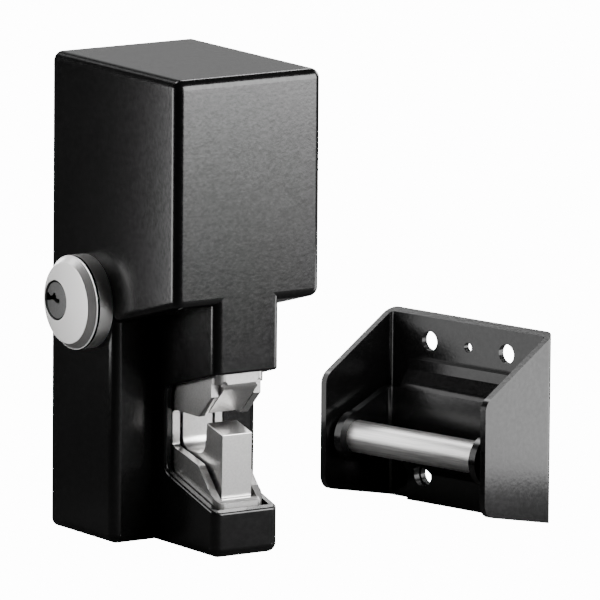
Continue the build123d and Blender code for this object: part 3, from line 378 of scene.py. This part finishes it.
def wire(node, points, radius):
    """A round wire through the points, as a mesh that stands for a CAD node."""
    line = bpy.data.curves.new(node + "_line", "CURVE")
    line.dimensions = "3D"
    line.bevel_depth = radius
    line.bevel_resolution = 2
    line.use_fill_caps = True
    run = line.splines.new("POLY")
    run.points.add(len(points) - 1)
    for knot, place in zip(run.points, points):
        knot.co = (*place, 1.0)
    holder = bpy.data.objects.new(node + "_line", line)
    bpy.context.scene.collection.objects.link(holder)
    bpy.context.view_layer.update()
    evaluated = holder.evaluated_get(bpy.context.evaluated_depsgraph_get())
    mesh = bpy.data.meshes.new_from_object(evaluated)
    bpy.data.objects.remove(holder)
    for face in mesh.polygons:
        face.use_smooth = True
    mesh.materials.clear()
    mesh.materials.append(LOOKS[node])
    piece = bpy.data.objects.new(node + "_wound", mesh)
    bpy.context.scene.collection.objects.link(piece)
    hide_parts(node)
    return piece


def winding(turns, ease):
    """Angle and share of the length along a coil. ease closes up the turns at both ends."""
    count = int(turns * STEPS_PER_TURN)
    for i in range(count + 1):
        s = i / count
        yield 2 * math.pi * turns * s, s - ease * math.sin(2 * math.pi * s) / (2 * math.pi)


# The plunger's spring stands upright round the plunger. It is built at one length here; the
# real spring is pressed shorter as the plunger lifts.
low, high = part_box("plunger_spring")
wire_r = 0.00055
coil_r = (high[0] - low[0]) / 2 - wire_r
mid_x, mid_y = (low[0] + high[0]) / 2, (low[1] + high[1]) / 2
rise = high[2] - low[2] - 2 * wire_r
coil = [(mid_x + coil_r * math.cos(a), mid_y + coil_r * math.sin(a), low[2] + wire_r + s * rise)
        for a, s in winding(5.0, 0.5)]
spring = wire("plunger_spring", coil, wire_r)
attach(spring, BODY_OF["plunger_spring"])
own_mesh(spring)

# The claw's spring lies along Y, from its hook beside the claw's lug to its eye at the post.
low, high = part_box("claw_spring")
wire_r = 0.00040
coil_r = 0.0029
hook_x = 0.0028
front, rear = 0.0013 + wire_r, 0.0188 - wire_r
mid_z = (low[2] + high[2]) / 2
coil = [(hook_x, low[1], mid_z)]
coil += [(coil_r * math.cos(a), front + s * (rear - front), mid_z + coil_r * math.sin(a))
         for a, s in winding(8.0, 0.2)]
coil += [(hook_x, high[1], mid_z)]
spring = wire("claw_spring", coil, wire_r)
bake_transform(spring)


# The photograph's camera, fitted to the lock's edges

FOCAL_PIXELS = 11450.8
FRAME_PIXELS = 600
SENSOR = 36.0
CAMERA_AT = Vector((-2.21403, -3.41785, 0.81182))
AZIMUTH = math.radians(-33.512)
ELEVATION = math.radians(10.086)
ROLL = math.radians(0.466)

back = Vector((math.sin(AZIMUTH) * math.cos(ELEVATION),
               -math.cos(AZIMUTH) * math.cos(ELEVATION),
               math.sin(ELEVATION)))
right = Vector((math.cos(AZIMUTH), math.sin(AZIMUTH), 0.0))
up = back.cross(right)
right_rolled = right * math.cos(ROLL) + up * math.sin(ROLL)
up_rolled = up * math.cos(ROLL) - right * math.sin(ROLL)
lens = bpy.data.cameras.new("camera")
lens.sensor_width = SENSOR
lens.lens = FOCAL_PIXELS / FRAME_PIXELS * SENSOR
lens.clip_start = 0.1
lens.clip_end = 50.0
camera = bpy.data.objects.new("camera", lens)
bpy.context.scene.collection.objects.link(camera)
turn = Matrix((right_rolled, up_rolled, back)).transposed().to_4x4()
camera.matrix_world = Matrix.Translation(CAMERA_AT) @ turn
bpy.context.scene.camera = camera


# Soft studio light. Most cards are placed where a face of the object mirrors them.

OPEN = 180.0  # a card without a grid, which shines to all sides in front of it
STUDIO_GLOW = 0.04

# Name, place, aim, width, height, power, and the spread of its light in degrees
CARDS = (
    # the head's, neck's and foot's front, and the weaker strip below that fades it out
    ("front_card", (0.255, -0.43, 0.2785), (0.03, -0.03, 0.20), 0.52, 0.395, 7.9, OPEN),
    ("front_low", (0.255, -0.43, 0.054), (0.03, -0.03, 0.13), 0.52, 0.065, 0.34, OPEN),
    # the bracket's outer cheek
    ("right_card", (0.204, -0.083, 0.036), (0.135, -0.045, 0.036), 0.095, 0.075, 0.12, OPEN),
    # the band along the left face's near edge, and the cylinder's face
    ("left_card", (-0.1375, 0.0596, 0.125), (-0.031, -0.047, 0.135), 0.06, 0.15, 0.17, OPEN),
    # the top
    ("back_card", (0.85, 1.28, 0.50), (0.0, 0.0, 0.17), 1.3, 0.8, 1.55, OPEN),
    # the thin line along the top's front rim
    ("rim_card", (0.65, 0.68, 0.85), (0.0, -0.04, 0.175), 0.5, 0.3, 0.038, 16.0),
    # the bar's upper side
    ("overhead", (-0.023, 0.576, 0.695), (0.093, -0.014, 0.026), 0.40, 0.40, 0.115, 30.0),
    # the back and the right, which the photograph doesn't show
    ("rear_card", (0.05, 1.30, 0.22), (0.0, 0.04, 0.09), 0.7, 0.4, 9.0, OPEN),
    ("right_fill", (1.25, 0.25, 0.55), (0.03, 0.0, 0.09), 0.6, 0.6, 9.0, OPEN),
    # the bar's near side, which would mirror the lock's dark side without it
    ("bar_card", (0.047, 0.010, 0.050), (0.093, -0.014, 0.030), 0.075, 0.050, 0.028, OPEN),
)

for name, at, towards, width, height, power, spread in CARDS:
    card = bpy.data.lights.new(name, "AREA")
    card.shape = "RECTANGLE"
    card.size = width
    card.size_y = height
    card.energy = power
    card.spread = math.radians(spread)
    light = bpy.data.objects.new(name, card)
    bpy.context.scene.collection.objects.link(light)
    light.location = at
    aim = Vector(towards) - Vector(at)
    light.rotation_euler = aim.to_track_quat("-Z", "Y").to_euler()
    light.visible_camera = False

world = bpy.data.worlds.new("studio")
bpy.context.scene.world = world
world.use_nodes = True
sky = world.node_tree.nodes["Background"]
sky.inputs["Color"].default_value = (1.0, 1.0, 1.0, 1.0)
sky.inputs["Strength"].default_value = STUDIO_GLOW


# The floor

FLOOR_DARK = (0.045, 0.045, 0.045)
FLOOR_LIGHT = (0.055, 0.055, 0.055)
FLOOR_WHITE = 14.0
FLOOR_HALF = 6.0
FLOOR_Z = -0.0002


def pale_floor():
    """White to the eye, but it throws little light back, so that the coat stays black."""
    n = Nodes("studio_floor")
    n.wire(n.ramp(n.noise(3.0), (0.3, FLOOR_DARK), (0.7, FLOOR_LIGHT)), "Base Color")
    n.set("Roughness", 0.9)
    white = n.add("ShaderNodeEmission", Strength=FLOOR_WHITE)
    path = n.add("ShaderNodeLightPath")
    mix = n.add("ShaderNodeMixShader")
    n.link(path.outputs["Is Camera Ray"], mix.inputs[0])
    n.link(n.shader.outputs["BSDF"], mix.inputs[1])
    n.link(white.outputs["Emission"], mix.inputs[2])
    n.link(mix.outputs[0], n.tree.nodes["Material Output"].inputs["Surface"])
    return n.material


floor_mesh = bpy.data.meshes.new("floor")
bm = bmesh.new()
bmesh.ops.create_grid(bm, x_segments=1, y_segments=1, size=FLOOR_HALF)
bm.to_mesh(floor_mesh)
bm.free()
floor = bpy.data.objects.new("floor", floor_mesh)
floor.location.z = FLOOR_Z
bpy.context.scene.collection.objects.link(floor)
floor_mesh.materials.append(pale_floor())
floor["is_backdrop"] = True

low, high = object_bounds()
